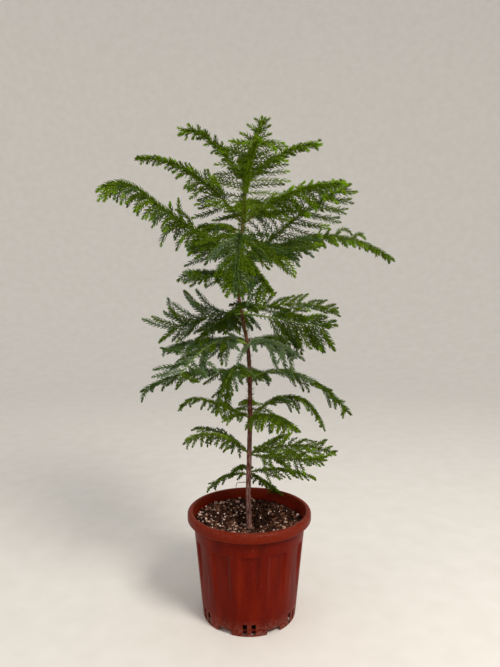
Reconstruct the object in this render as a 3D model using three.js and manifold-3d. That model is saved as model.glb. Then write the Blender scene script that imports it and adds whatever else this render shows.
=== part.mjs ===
// A young Norfolk Island pine in a ribbed plastic nursery pot: a slender stem that sways to the left above
// its middle, nine tiers of flat fronds and a tuft of new growth at the tip.
// Millimetres, +Z up, with the origin at the middle of the pot's underside.
// Directions round the stem are degrees from +X (right) towards +Y (back).

import * as THREE from "three";
import { mergeVertices } from "three/addons/utils/BufferGeometryUtils.js";
import Module from "manifold-3d";

const CLEARANCE = 0.3; // between neighbouring pieces
const FRONT = 270; // degrees, towards -Y
const SAME = 1e-4; // points nearer than this are one

// Pot: a tapered wall under a rolled collar
const POT_HEIGHT = 214;
const POT_SIDES = 36;
const COLLAR_RADIUS = 125;
const COLLAR_HEIGHT = 20;
const COLLAR_ROUND = 6;
const LIP_RADIUS = 114.5;
const WALL_TOP_RADIUS = 113;
const WALL_FOOT_RADIUS = 94.5;
const WALL = 4.6;
const FLOOR_HEIGHT = 11;
const FLOOR_THICKNESS = 2.6;

// Twelve shallow panels pressed into the wall, fading out towards the foot
const PANEL_COUNT = 12;
const PANEL_WIDTH = 31;
const PANEL_TOP = 162;
const PANEL_FOOT = 30;
const PANEL_TOP_DEPTH = 2.4;
const PANEL_FOOT_DEPTH = 1;

// Pairs of drain slots in six feet, with a notch between each two feet
const FOOT_COUNT = 6;
const SLOT_WIDTH = 8;
const SLOT_SPACING = 17;
const SLOT_BOTTOM = 3;
const SLOT_TOP = 25;
const NOTCH_HEIGHT = 10;
const NOTCH_WIDTH_AT_FLOOR = 31;
const NOTCH_WIDTH_AT_TOP = 20;

// Potting mix: heaped towards the wall, with a hollow round the stem
const MIX_HOLLOW_RADIUS = 11;
const MIX_HOLLOW_HEIGHT = 167.7;
const MIX_RINGS = [[30, 175], [58, 185], [90, 190]]; // radius, height
const MIX_EDGE_HEIGHT = 187;
const MIX_BUMP = 2.2;
const MIX_WAVES = [3, 7]; // round the pot, added together

// Stem: where its middle line runs, and how thick it is
const STEM_FOOT = MIX_HOLLOW_HEIGHT + CLEARANCE;
const STEM_TIP = 905;
const LEADER_TIP = 984;
const STEM_SWAY = [
  [STEM_FOOT, 0], [250, -2], [325, 0], [470, 1], [545, -3], [605, -14], [660, -22], [700, -18],
  [785, -13], [862, -8], [STEM_TIP, -1], [940, 12], [LEADER_TIP, 30],
]; // height, sideways
// height, radius
const STEM_RADII = [[STEM_FOOT, 7], [182, 5.4], [460, 4.4], [600, 3.3], [785, 2.7], [STEM_TIP, 2]];
const STEM_SIDES = 8;
const STEM_STEPS = 18;
const STEM_STEP_CROWDING = 0.35; // how far the steps gather towards the flared foot
const SEAT_STEP = 0.1; // by which a limb is moved out until it is clear of the stem

// What a frond is like where its tier or its own line below says nothing else
const USUAL_FROND = {
  above: 0, // of its foot over its tier
  boughs: false, // whether its base is a bare bough
  nod: 0, // how far its tip bends down
  roll: 0, // degrees by which its left side is turned up, seen from the stem
  hang: 0.35, // how steeply its sprays droop
  width: 0.3, // how much longer its longest spray is than the least, as a share of the reach
  least: 14, // length of a spray at the tip
  taper: 0.8, // how fast the sprays shorten towards the tip
  first: 0.17, // share of the rib's length where the sprays begin
  last: 0.9, // and where they end
  forward: 48, // degrees between a spray and the rib
  curl: 0, // degrees by which the sprays on the left stand wider
  left: 1, // length of the sprays on the left, as a share of the others
  uprights: [], // single sprays that stand on the rib: share of the reach, length
};

// Tiers of fronds, lowest first. A frond has the side that it points to, its reach out from the stem, the
// height of its tip over its foot (lift) and the slope at which it sets off (rise, in degrees).
const TIERS = [
  { height: 289, fronds: [
    { side: 180, reach: 81, lift: -29, rise: 19, above: -6, roll: 30 },
    { side: 12, reach: 140, lift: -22, rise: 10, width: 0.22 },
    { side: 55, reach: 112, lift: -77, rise: -30 },
    { side: 108, reach: 80, lift: -20, rise: 15 },
  ] },
  { height: 326, hang: 0.3, width: 0.25, fronds: [
    { side: 212, reach: 139, lift: 51, rise: 46, hang: 0.9, width: 0.1, least: 20 },
    { side: 160, reach: 120, lift: 43, rise: 42, hang: 0.1, width: 0.15 },
    { side: 6, reach: 175, lift: -3, rise: 20, hang: 0.05, forward: 32 },
    { side: 322, reach: 177, lift: 22, rise: 3, hang: 0.05, forward: 32 },
    { side: 50, reach: 125, lift: 15, rise: 12, width: 0.12 },
  ] },
  { height: 400, width: 0.26, fronds: [
    { side: 300, reach: 154, lift: 15, rise: 23, hang: 0.7 },
    { side: 170, reach: 148, lift: 11, rise: 27, width: 0.12, nod: 30 },
    { side: 14, reach: 160, lift: -34, rise: 46, hang: 0.6, width: 0.2, nod: 30 },
    { side: 92, reach: 125, lift: 10, rise: 25 },
    { side: 215, reach: 58, lift: -2, rise: 22, above: 6 },
  ] },
  { height: 482, hang: 0.5, fronds: [
    { side: 352, reach: 199, lift: -67, rise: 26, width: 0.14, least: 24 },
    { side: 183, reach: 214, lift: -25, rise: 20, width: 0.14, least: 26 },
    { side: 245, reach: 140, lift: -45, rise: 48, hang: 0.8 },
    { side: 85, reach: 165, lift: -30, rise: 15 },
  ] },
  { height: 549, hang: 0.45, width: 0.36, fronds: [
    { side: 230, reach: 185, lift: -43, rise: 25, hang: 0.05, width: 0.15, least: 62, left: 0.75 },
    { side: 305, reach: 142, lift: -2, rise: 17, hang: 0.7 },
    { side: 172, reach: 171, lift: -15, rise: 16 },
    { side: 55, reach: 130, lift: 5, rise: 14 },
    { side: 118, reach: 165, lift: -20, rise: 15 },
  ] },
  { height: 610, hang: 0.25, width: 0.38, fronds: [
    { side: 12, reach: 200, lift: 2, rise: 20, hang: -0.05, width: 0.15, least: 22, roll: 40, forward: 38 },
    { side: 320, reach: 200, lift: -19, rise: -3, hang: 0.2, width: 0.2, least: 46, roll: 72, left: 0.5,
      first: 0.34, forward: 37 },
    { side: 192, reach: 140, lift: -34, rise: -6, above: 6, hang: -0.1, width: 0.08, least: 48, roll: 55,
      forward: 40, curl: 11, left: 1.3 },
    { side: 222, reach: 110, lift: -48, rise: 0, hang: 0.7, width: 0.3 },
    { side: 100, reach: 165, lift: -45, rise: 12, hang: 0.8, width: 0.42 },
    { side: 280, reach: 85, lift: 4, rise: 30, above: 8, hang: 0.4, width: 0.5 },
  ] },
  { height: 700, hang: 0.55, width: 0.4, boughs: true, fronds: [
    { side: 187, reach: 272, lift: 121, rise: 26, above: 22, nod: 70, hang: 1, width: 0.02, least: 40,
      taper: 0, first: 0.3, forward: 35, uprights: [[0.49, 22], [0.42, 42], [0.34, 45]] },
    { side: 8, reach: 315, lift: 27, rise: 40, above: -10, width: 0.28, least: 15, taper: 2.2, hang: 0.75,
      forward: 45, uprights: [[0.62, 34], [0.73, 26]] },
    { side: 267, reach: 160, lift: -92, rise: 38, above: 40, hang: 0.35, width: 0.6 },
    { side: 355, reach: 210, lift: 157, rise: 45, hang: 0, width: 0.5, roll: 75, curl: 37, left: 0.75 },
    { side: 60, reach: 198, lift: 50, rise: 35 },
    { side: 122, reach: 200, lift: 60, rise: 38 },
    { side: 228, reach: 142, lift: 2, rise: 4, above: -14, hang: 0.3, width: 0.22, least: 16 },
    { side: 205, reach: 112, lift: -18, rise: 41, above: 57, hang: 0.6, width: 0.35 },
    { side: 292, reach: 146, lift: -72, rise: -20, above: 22, hang: 0.3, width: 0.5, taper: 0.4, left: 0.2 },
  ] },
  { height: 785, hang: 0.3, width: 0.4, fronds: [
    { side: 172, reach: 212, lift: 131, rise: 53, width: 0.42, taper: 2.6, roll: 60, left: 0.6 },
    { side: 350, reach: 197, lift: 70, rise: 38, width: 0.42, roll: 45, left: 0.5 },
    { side: 285, reach: 128, lift: 127, rise: 68, width: 0.56, taper: 0.5, forward: 70 },
    { side: 165, reach: 88, lift: 11, rise: 20, above: -14 },
    { side: 85, reach: 168, lift: 70, rise: 35 },
  ] },
  { height: 862, hang: 0.1, width: 0.03, least: 17, fronds: [
    { side: 178, reach: 126, lift: 95, rise: 58, nod: 15, roll: 55 },
    { side: 4, reach: 146, lift: 77, rise: 46, roll: 50 },
    { side: 278, reach: 70, lift: 45, rise: 40, hang: 0.25, width: 0.2 },
    { side: 92, reach: 140, lift: 80, rise: 45 },
  ] },
];
const NOD_START = 0.7; // share of the reach from which a tip nods

// Boughs: bare bases of the fronds of the widest tier
const BOUGH_SHARE = 0.16; // of the frond's reach
const BOUGH_RADIUS = 1.8;
const BOUGH_TIP_RADIUS = 1.6;
const BOUGH_SIDES = 6;

// Ribs of the fronds, three-sided
const RIB_RADIUS = 2.3;
const RIB_END_RADIUS = 1.8;
const RIB_SIDES = 3;
const RIB_STEPS = 5;
const RIB_END = 0.86; // share of the reach, where the end spray takes over

// Sprays of needles: toothed blades that are thickest near their root
const SPRAY_SPACING = 43;
const SPRAY_UNEVEN = 0.1; // of their length
const END_SPRAY_OVERLAP = 0.04; // share of the reach
const SPRAY_JITTER = 7; // degrees
const UPRIGHT_LEAN = 0.3; // forwards, for each unit up
const SPRAY_HALF_WIDTH = 12;
const SPRAY_THICKNESS = 4; // each way from the blade's middle
const SPRAY_SUNK = 0.7; // how far the root lies behind the rib's middle line
const SPRAY_APEX = 0.14; // share of the length, where the blade is thickest
const SPRAY_GUARD = 0.5; // room kept round a blade
const SHORT_SPRAY = 70; // below this length a blade has one tooth on each side
const TRIMMED_SHARES = [1, 0.75, 0.55]; // lengths tried before a spray is skipped
// One side of a blade from root to tip: share of the length, share of the half width
const LONG_BLADE_SIDE = [[0.4, 1], [0.31, 0.42], [0.74, 0.85], [0.62, 0.3]];
const SHORT_BLADE_SIDE = [[0.5, 1], [0.42, 0.4]];

// Tuft at the tip
const TUFT_SPRAYS = 13;
const TUFT_LOW_LENGTH = 52;
const TUFT_HIGH_LENGTH = 26;
const TUFT_LOW_SLOPE = 28; // degrees above level
const TUFT_HIGH_SLOPE = 62;
const TUFT_STEPS = 4;
const TUFT_FIRST = 0.16; // shares of the leader's height
const TUFT_LAST = 0.78;
const TUFT_RIB_END = 0.8;
const TUFT_END_SPRAY = 0.7;
const GOLDEN_ANGLE = 137.5;

const SEED = 20;

const POT_PLASTIC = { color: 0x8a3220, roughness: 0.45, metalness: 0 };
const POTTING_MIX = { color: 0x2e231d, roughness: 0.95, metalness: 0 };
const STEM_BARK = { color: 0x705049, roughness: 0.85, metalness: 0 };
const BOUGH_BARK = { color: 0x7a6a3c, roughness: 0.8, metalness: 0 };
const LOW_GREEN = new THREE.Color(0x3f6a2a);
const MIDDLE_GREEN = new THREE.Color(0x35583a);
const TOP_GREEN = new THREE.Color(0x5d8a2e);
const NEEDLE_ROUGHNESS = 0.6;

const wasm = await Module();
wasm.setup();

let randomState = SEED;

// A number from 0 to 1, in the same order on every run
function random() {
  randomState = (randomState + 0x6d2b79f5) | 0;
  let mixed = Math.imul(randomState ^ (randomState >>> 15), 1 | randomState);
  mixed = (mixed + Math.imul(mixed ^ (mixed >>> 7), 61 | mixed)) ^ mixed;
  return ((mixed ^ (mixed >>> 14)) >>> 0) / 4294967296;
}

function spread(range) {
  return (2 * random() - 1) * range;
}

function radians(degrees) {
  return THREE.MathUtils.degToRad(degrees);
}

function mix(low, high, share) {
  return low + (high - low) * share;
}

// Value at x on straight lines through [x, value] points in rising order
function between(points, x) {
  const last = points.length - 1;
  const next = points.findIndex((point) => point[0] >= x);
  if (next === 0) return points[0][1];
  if (next < 0) return points[last][1];
  const [x0, y0] = points[next - 1];
  const [x1, y1] = points[next];
  return y0 + ((y1 - y0) * (x - x0)) / (x1 - x0);
}

// Closed geometry to a solid that can be joined and cut
function solidOf(geometry) {
  const bare = geometry.clone();
  bare.deleteAttribute("normal");
  bare.deleteAttribute("uv");
  const merged = mergeVertices(bare, SAME);
  return new wasm.Manifold(new wasm.Mesh({
    numProp: 3,
    vertProperties: new Float32Array(merged.getAttribute("position").array),
    triVerts: new Uint32Array(merged.getIndex().array),
  }));
}

function geometryOf(solid) {
  const mesh = solid.getMesh();
  const geometry = new THREE.BufferGeometry();
  geometry.setAttribute("position", new THREE.BufferAttribute(mesh.vertProperties, 3));
  geometry.setIndex(new THREE.BufferAttribute(mesh.triVerts, 1));
  geometry.computeVertexNormals();
  return geometry;
}

function namedMesh(name, solid, look) {
  const mesh = new THREE.Mesh(geometryOf(solid), new THREE.MeshStandardMaterial(look));
  mesh.name = name;
  return mesh;
}

// Solid of revolution about +Z from [radius, height] points that start and end on the axis
function turned(points, sides) {
  const profile = points.map(([radius, height]) => new THREE.Vector2(radius, height));
  return new THREE.LatheGeometry(profile, sides).rotateX(Math.PI / 2);
}

// A cylinder bent along a flat curve: at(share) gives its middle line, across is square to the curve's plane
function limb(at, across, radiusAt, sides, steps) {
  const geometry = new THREE.CylinderGeometry(1, 1, 1, sides, steps);
  const position = geometry.getAttribute("position");
  const step = 1e-3;
  for (let i = 0; i < position.count; i++) {
    const share = position.getY(i) + 0.5;
    const tangent = at(Math.min(1, share + step)).sub(at(Math.max(0, share - step))).normalize();
    const normal = new THREE.Vector3().crossVectors(across, tangent);
    const radius = radiusAt(share);
    const point = at(share);
    point.addScaledVector(across, position.getX(i) * radius);
    point.addScaledVector(normal, position.getZ(i) * radius);
    position.setXYZ(i, point.x, point.y, point.z);
  }
  return solidOf(geometry);
}

// A toothed blade from root towards a direction. Its outline lies in the plane of the direction and of flat.
function blade(root, direction, flat, length, margin) {
  const side = length < SHORT_SPRAY ? SHORT_BLADE_SIDE : LONG_BLADE_SIDE;
  const halfWidth = SPRAY_HALF_WIDTH + margin;
  const left = side.map(([along, out]) => [along * length, out * halfWidth]);
  const right = left.map(([along, out]) => [along, -out]).reverse();
  const outline = [[-SPRAY_SUNK, 0], ...left, [length + margin, 0], ...right];
  const across = flat.clone().addScaledVector(direction, -flat.dot(direction)).normalize();
  const normal = new THREE.Vector3().crossVectors(across, direction);
  const geometry = new THREE.SphereGeometry(1, outline.length, 2);
  const position = geometry.getAttribute("position");
  for (let i = 0; i < position.count; i++) {
    const pole = Math.round(position.getY(i));
    const [along, out] = pole ? [SPRAY_APEX * length, 0] : outline[i % (outline.length + 1) % outline.length];
    const point = root.clone().addScaledVector(direction, along).addScaledVector(across, out);
    point.addScaledVector(normal, pole * (SPRAY_THICKNESS + margin));
    position.setXYZ(i, point.x, point.y, point.z);
  }
  return solidOf(geometry);
}

function wallRadius(height) {
  return mix(WALL_FOOT_RADIUS, WALL_TOP_RADIUS, height / (POT_HEIGHT - COLLAR_HEIGHT));
}

function turnedAboutZ(geometry, degrees) {
  return solidOf(geometry.clone().rotateZ(radians(degrees)));
}

// A flat outline of [radius, height] points made a block of some width across the +X direction
function radialBlock(points, width) {
  const shape = new THREE.Shape(points.map(([radius, height]) => new THREE.Vector2(radius, height)));
  const block = new THREE.ExtrudeGeometry(shape, { depth: width, bevelEnabled: false });
  return block.translate(0, 0, -width / 2).rotateX(Math.PI / 2);
}

function makePot() {
  const innerFoot = WALL_FOOT_RADIUS - WALL;
  const collarFoot = POT_HEIGHT - COLLAR_HEIGHT;
  const arc = COLLAR_ROUND * (1 - Math.SQRT1_2);
  let pot = solidOf(turned([
    [0, FLOOR_HEIGHT],
    [innerFoot, FLOOR_HEIGHT],
    [innerFoot, 0],
    [WALL_FOOT_RADIUS, 0],
    [WALL_TOP_RADIUS, collarFoot],
    [COLLAR_RADIUS - COLLAR_ROUND / 2, collarFoot],
    [COLLAR_RADIUS, collarFoot + COLLAR_ROUND],
    [COLLAR_RADIUS, POT_HEIGHT - COLLAR_ROUND],
    [COLLAR_RADIUS - arc, POT_HEIGHT - arc],
    [COLLAR_RADIUS - COLLAR_ROUND, POT_HEIGHT],
    [LIP_RADIUS, POT_HEIGHT - COLLAR_ROUND],
    [wallRadius(collarFoot) - WALL, collarFoot - COLLAR_ROUND],
    [wallRadius(FLOOR_HEIGHT) - WALL, FLOOR_HEIGHT + FLOOR_THICKNESS],
    [0, FLOOR_HEIGHT + FLOOR_THICKNESS],
  ], POT_SIDES));

  const beyond = COLLAR_RADIUS;
  const panel = radialBlock([
    [wallRadius(PANEL_FOOT) - PANEL_FOOT_DEPTH, PANEL_FOOT],
    [beyond, PANEL_FOOT],
    [beyond, PANEL_TOP],
    [wallRadius(PANEL_TOP) - PANEL_TOP_DEPTH, PANEL_TOP],
  ], PANEL_WIDTH);
  for (let i = 0; i < PANEL_COUNT; i++) {
    pot = pot.subtract(turnedAboutZ(panel, FRONT + (i * 360) / PANEL_COUNT));
  }

  const inside = innerFoot - WALL;
  const slot = radialBlock([
    [inside, SLOT_BOTTOM], [beyond, SLOT_BOTTOM], [beyond, SLOT_TOP], [inside, SLOT_TOP],
  ], SLOT_WIDTH);
  const notchShape = new THREE.Shape([
    new THREE.Vector2(-NOTCH_WIDTH_AT_FLOOR / 2, -1),
    new THREE.Vector2(NOTCH_WIDTH_AT_FLOOR / 2, -1),
    new THREE.Vector2(NOTCH_WIDTH_AT_TOP / 2, NOTCH_HEIGHT),
    new THREE.Vector2(-NOTCH_WIDTH_AT_TOP / 2, NOTCH_HEIGHT),
  ]);
  const notch = new THREE.ExtrudeGeometry(notchShape, { depth: beyond - inside, bevelEnabled: false });
  notch.translate(0, 0, inside).rotateX(Math.PI / 2).rotateZ(Math.PI / 2);
  for (let i = 0; i < FOOT_COUNT; i++) {
    const middle = FRONT + (i * 360) / FOOT_COUNT;
    for (const shift of [-SLOT_SPACING / 2, SLOT_SPACING / 2]) {
      pot = pot.subtract(turnedAboutZ(slot.clone().translate(0, shift, 0), middle));
    }
    pot = pot.subtract(turnedAboutZ(notch, middle + 180 / FOOT_COUNT));
  }
  return pot;
}

function makePottingMix() {
  const bottom = FLOOR_HEIGHT + FLOOR_THICKNESS + CLEARANCE;
  const room = WALL + CLEARANCE;
  const geometry = turned([
    [0, bottom],
    [wallRadius(FLOOR_HEIGHT) - room, bottom],
    [wallRadius(MIX_EDGE_HEIGHT) - room, MIX_EDGE_HEIGHT],
    ...MIX_RINGS.toReversed(),
    [MIX_HOLLOW_RADIUS, MIX_HOLLOW_HEIGHT],
    [0, MIX_HOLLOW_HEIGHT],
  ], POT_SIDES);
  const position = geometry.getAttribute("position");
  for (let i = 0; i < position.count; i++) {
    const radius = Math.hypot(position.getX(i), position.getY(i));
    const angle = Math.atan2(position.getY(i), position.getX(i));
    const onRing = MIX_RINGS.some(([ring]) => Math.abs(ring - radius) < SAME);
    const wave = (Math.sin(MIX_WAVES[0] * angle + radius) + Math.cos(MIX_WAVES[1] * angle - radius)) / 2;
    if (onRing) position.setZ(i, position.getZ(i) + MIX_BUMP * wave);
  }
  return solidOf(geometry);
}

const stemLine = new THREE.CatmullRomCurve3(
  STEM_SWAY.map(([height, sideways]) => new THREE.Vector3(sideways, 0, height)),
);

// The stem's middle at a height, found by halving, since the line always climbs
function stemAt(height) {
  let low = 0;
  let high = 1;
  for (let i = 0; i < 40; i++) {
    const middle = (low + high) / 2;
    if (stemLine.getPoint(middle).z < height) low = middle;
    else high = middle;
  }
  return stemLine.getPoint(low);
}

function stemRadius(height) {
  return between(STEM_RADII, height);
}

// The leader carries on from the stem's tip
function leaderAt(share) {
  return stemAt(STEM_TIP + (LEADER_TIP - STEM_TIP) * share);
}

// The stem, or the room round it that other pieces keep clear of
function makeStem(room) {
  const across = new THREE.Vector3(1, 0, 0);
  const span = STEM_TIP - STEM_FOOT;
  const heightAt = (share) => STEM_FOOT + span * share * (1 + STEM_STEP_CROWDING * (share - 1));
  const at = (share) => stemAt(heightAt(share));
  return limb(at, across, (share) => stemRadius(heightAt(share)) + room, STEM_SIDES, STEM_STEPS);
}

const stemRoom = makeStem(CLEARANCE);

// The share of a frond's reach from which a limb that is built there keeps clear of the stem
function seatOf(reach, height, build) {
  let seat = stemRadius(height) / reach;
  while (!build(seat).intersect(stemRoom).isEmpty()) seat += SEAT_STEP / reach;
  return seat;
}

// The middle line of a frond: it sets off from the stem at a slope, arches over, and its tip may nod
class FrondLine extends THREE.Curve {
  constructor(foot, out, { reach, lift, rise, nod }) {
    super();
    Object.assign(this, { foot, out, reach, lift, nod, slope: Math.tan(radians(rise)) });
  }

  getPoint(share) {
    const pastStart = Math.max(0, (share - NOD_START) / (1 - NOD_START));
    const arch = share * (1 - share) * this.reach * this.slope;
    const up = arch + share ** 2 * (this.lift + this.nod) - pastStart ** 2 * this.nod;
    const point = this.foot.clone().addScaledVector(this.out, share * this.reach);
    point.z += up;
    return point;
  }
}

function planFrond({ fronds, ...usual }, size, name) {
  const own = { ...USUAL_FROND, ...usual, ...size };
  const side = radians(own.side);
  const out = new THREE.Vector3(Math.cos(side), Math.sin(side), 0);
  const across = new THREE.Vector3(-out.y, out.x, 0);
  const foot = own.height + own.above;
  return { ...own, name, foot, across, line: new FrondLine(stemAt(foot), out, own) };
}

function makeBough({ line, across, reach, foot }) {
  const end = line.getPoint(BOUGH_SHARE);
  const radiusAt = (share) => mix(BOUGH_RADIUS, BOUGH_TIP_RADIUS, share);
  const build = (seat) => {
    const start = line.getPoint(seat);
    return limb((share) => start.clone().lerp(end, share), across, radiusAt, BOUGH_SIDES, 1);
  };
  return build(seatOf(reach, foot, build));
}

function makeRib({ line, across, reach, foot, boughs }) {
  const radiusAt = (share) => mix(RIB_RADIUS, RIB_END_RADIUS, share);
  const build = (start) => {
    const at = (share) => line.getPoint(mix(start, RIB_END, share));
    return limb(at, across, radiusAt, RIB_SIDES, RIB_STEPS);
  };
  const pastBough = BOUGH_SHARE + (2 * CLEARANCE) / reach;
  return build(boughs ? pastBough : seatOf(reach, foot, build));
}

// Side sprays by turns on either side of a rib, those that stand on it, and one that carries on from its end
function planSprays(frond) {
  const { line, across, reach, first, last } = frond;
  const sprays = [];
  const count = Math.max(3, Math.round(((last - first) * line.getLength()) / SPRAY_SPACING));
  for (let i = 0; i < 2 * count; i++) {
    const onLeft = i % 2 === 1;
    const share = line.getUtoTmapping(mix(first, last, (i + 0.5) / (2 * count)));
    const tangent = line.getTangent(share);
    const top = new THREE.Vector3().crossVectors(tangent, across);
    const roll = radians(frond.roll);
    const sideways = across.clone().multiplyScalar(Math.cos(roll)).addScaledVector(top, Math.sin(roll));
    const forward = radians(frond.forward + (onLeft ? frond.curl : 0) + spread(SPRAY_JITTER));
    const direction = tangent.clone().multiplyScalar(Math.cos(forward));
    direction.addScaledVector(sideways, (onLeft ? 1 : -1) * Math.sin(forward));
    direction.z -= frond.hang;
    direction.normalize();
    const extra = frond.width * reach * (1 - share) ** frond.taper * (1 + spread(SPRAY_UNEVEN));
    const length = (frond.least + extra) * (onLeft ? frond.left : 1);
    sprays.push({ root: line.getPoint(share), direction, flat: tangent, length });
  }
  for (const [share, length] of frond.uprights) {
    const tangent = line.getTangent(share);
    const direction = new THREE.Vector3(0, 0, 1).addScaledVector(tangent, UPRIGHT_LEAN).normalize();
    sprays.push({ root: line.getPoint(share), direction, flat: tangent, length });
  }
  const end = line.getPoint(RIB_END - END_SPRAY_OVERLAP);
  const along = line.getPoint(1).sub(end);
  sprays.push({ root: end, direction: along.clone().normalize(), flat: across, length: along.length() });
  return sprays;
}

// Short shoots spiralling up the leader, steeper and shorter towards its tip
function planTuft() {
  const sprays = [];
  for (let i = 0; i < TUFT_SPRAYS; i++) {
    const share = i / (TUFT_SPRAYS - 1);
    const side = radians(GOLDEN_ANGLE * i + spread(SPRAY_JITTER));
    const slope = radians(mix(TUFT_LOW_SLOPE, TUFT_HIGH_SLOPE, share));
    sprays.push({
      root: leaderAt(mix(TUFT_FIRST, TUFT_LAST, share)),
      direction: new THREE.Vector3(Math.cos(side), Math.sin(side), Math.tan(slope)).normalize(),
      flat: new THREE.Vector3(-Math.sin(side), Math.cos(side), 0),
      length: mix(TUFT_LOW_LENGTH, TUFT_HIGH_LENGTH, share),
    });
  }
  const root = leaderAt(TUFT_END_SPRAY);
  const along = leaderAt(1).sub(root);
  const flat = new THREE.Vector3(0, 1, 0);
  sprays.push({ root, direction: along.clone().normalize(), flat, length: along.length() });
  return sprays;
}

function makeTuftRib() {
  const seat = CLEARANCE / (LEADER_TIP - STEM_TIP);
  const at = (share) => leaderAt(mix(seat, TUFT_RIB_END, share));
  return limb(at, new THREE.Vector3(1, 0, 0), () => RIB_END_RADIUS, RIB_SIDES, TUFT_STEPS);
}

function boxesMeet(a, b) {
  return [0, 1, 2].every((axis) => a.min[axis] <= b.max[axis] && b.min[axis] <= a.max[axis]);
}

function placed(name, solid) {
  return { name, solid, box: solid.boundingBox() };
}

// Joins to a rib each spray that keeps clear of everything placed so far under another name
function growSprays(name, rib, sprays, taken) {
  let mass = rib;
  for (const { root, direction, flat, length } of sprays) {
    for (const share of TRIMMED_SHARES) {
      const guard = placed(name, blade(root, direction, flat, length * share, SPRAY_GUARD));
      const near = taken.filter((other) => other.name !== name && boxesMeet(guard.box, other.box));
      if (near.some((other) => !guard.solid.intersect(other.solid).isEmpty())) continue;
      const spray = placed(name, blade(root, direction, flat, length * share, 0));
      taken.push(spray);
      mass = mass.add(spray.solid);
      break;
    }
  }
  return mass;
}

function greenOf(tierIndex) {
  const share = tierIndex / (TIERS.length - 1);
  if (share < 0.5) return LOW_GREEN.clone().lerp(MIDDLE_GREEN, share * 2);
  return MIDDLE_GREEN.clone().lerp(TOP_GREEN, share * 2 - 1);
}

const tree = new THREE.Group();
const taken = [];

function include(name, solid, look) {
  tree.add(namedMesh(name, solid, look));
  taken.push(placed(name, solid));
}

include("pot", makePot(), POT_PLASTIC);
include("potting_mix", makePottingMix(), POTTING_MIX);
include("trunk", makeStem(0), STEM_BARK);

const fronds = TIERS.flatMap((tier, tierIndex) => tier.fronds.map((frond, i) => ({
  ...planFrond(tier, frond, `tier_${tierIndex + 1}_frond_${i + 1}`),
  boughName: `tier_${tierIndex + 1}_bough_${i + 1}`,
  look: { color: greenOf(tierIndex), roughness: NEEDLE_ROUGHNESS, metalness: 0 },
})));
for (const frond of fronds) {
  if (frond.boughs) include(frond.boughName, makeBough(frond), BOUGH_BARK);
  frond.rib = makeRib(frond);
  taken.push(placed(frond.name, frond.rib));
}

const tuftRib = makeTuftRib();
taken.push(placed("leader_tuft", tuftRib));
const tuft = growSprays("leader_tuft", tuftRib, planTuft(), taken);
tree.add(namedMesh("leader_tuft", tuft, { color: TOP_GREEN, roughness: NEEDLE_ROUGHNESS, metalness: 0 }));

for (const frond of fronds) {
  tree.add(namedMesh(frond.name, growSprays(frond.name, frond.rib, planSprays(frond), taken), frond.look));
}

export default tree;
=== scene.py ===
import math
from functools import partial

import bmesh
import bpy
import numpy as np
from mathutils import Matrix, Vector, noise


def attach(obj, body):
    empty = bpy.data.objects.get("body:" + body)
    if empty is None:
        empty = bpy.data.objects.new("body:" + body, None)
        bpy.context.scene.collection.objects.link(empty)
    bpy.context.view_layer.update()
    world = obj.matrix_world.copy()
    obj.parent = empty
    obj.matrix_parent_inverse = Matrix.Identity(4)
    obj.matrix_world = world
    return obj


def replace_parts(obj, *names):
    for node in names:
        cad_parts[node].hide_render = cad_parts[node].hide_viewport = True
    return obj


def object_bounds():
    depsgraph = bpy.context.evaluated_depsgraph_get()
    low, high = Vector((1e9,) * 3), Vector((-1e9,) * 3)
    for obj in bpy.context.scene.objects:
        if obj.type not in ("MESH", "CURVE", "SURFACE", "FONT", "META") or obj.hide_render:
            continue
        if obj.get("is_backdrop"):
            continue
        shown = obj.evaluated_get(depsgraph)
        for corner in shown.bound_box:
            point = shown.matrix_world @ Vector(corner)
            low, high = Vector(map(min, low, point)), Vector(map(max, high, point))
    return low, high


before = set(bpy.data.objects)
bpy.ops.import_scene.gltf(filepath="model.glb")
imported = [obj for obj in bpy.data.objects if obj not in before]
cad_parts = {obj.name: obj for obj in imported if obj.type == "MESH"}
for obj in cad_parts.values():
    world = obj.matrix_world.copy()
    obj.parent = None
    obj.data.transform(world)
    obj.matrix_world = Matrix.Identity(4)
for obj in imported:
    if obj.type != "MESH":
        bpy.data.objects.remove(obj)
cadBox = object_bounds()
scene = bpy.context.scene
print("frame:", len(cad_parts), "nodes")

# A young Norfolk Island pine in a ribbed nursery pot. Sizes are in millimetres until a mesh is made,
# and directions round the stem are degrees from +X (right) towards +Y (back).
mm = 0.001
slack = 0.1  # for rounding, in millimetres or degrees
hair = 0.001  # share of a line's length over which its direction is taken
up = np.array([0.0, 0.0, 1.0])
back = np.array([0.0, 1.0, 0.0])
draw = np.random.default_rng(20)  # chance for the potting mix; later each frond has its own
mixShare, mixFrom, mixTo = 0, 6, 7  # a Mix node's inputs for colours


# A dictionary whose values can also be read by their names
class settings(dict):
    __getattr__ = dict.__getitem__


def hexColour(code):
    channels = [int(code[i:i + 2], 16) / 255 for i in (1, 3, 5)]
    linear = [c / 12.92 if c <= 0.04045 else ((c + 0.055) / 1.055) ** 2.4 for c in channels]
    return (*linear, 1.0)


def perMetre(size):
    return 1 / (size * mm)  # texture scale for a pattern of this size in millimetres


def drawnOut(wide, tall):
    return (perMetre(wide), perMetre(wide), perMetre(tall))  # the same for a pattern drawn out upwards


# Sets a node's inputs: a node is linked by its result and a socket as it is, the rest are plain values
def setInputs(node, inputs):
    for name, value in inputs.items():
        if isinstance(value, bpy.types.Node):
            value = next(socket for socket in value.outputs if socket.enabled)
        if isinstance(value, bpy.types.NodeSocket):
            node.id_data.links.new(value, node.inputs[name])
        else:
            node.inputs[name].default_value = value


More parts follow.
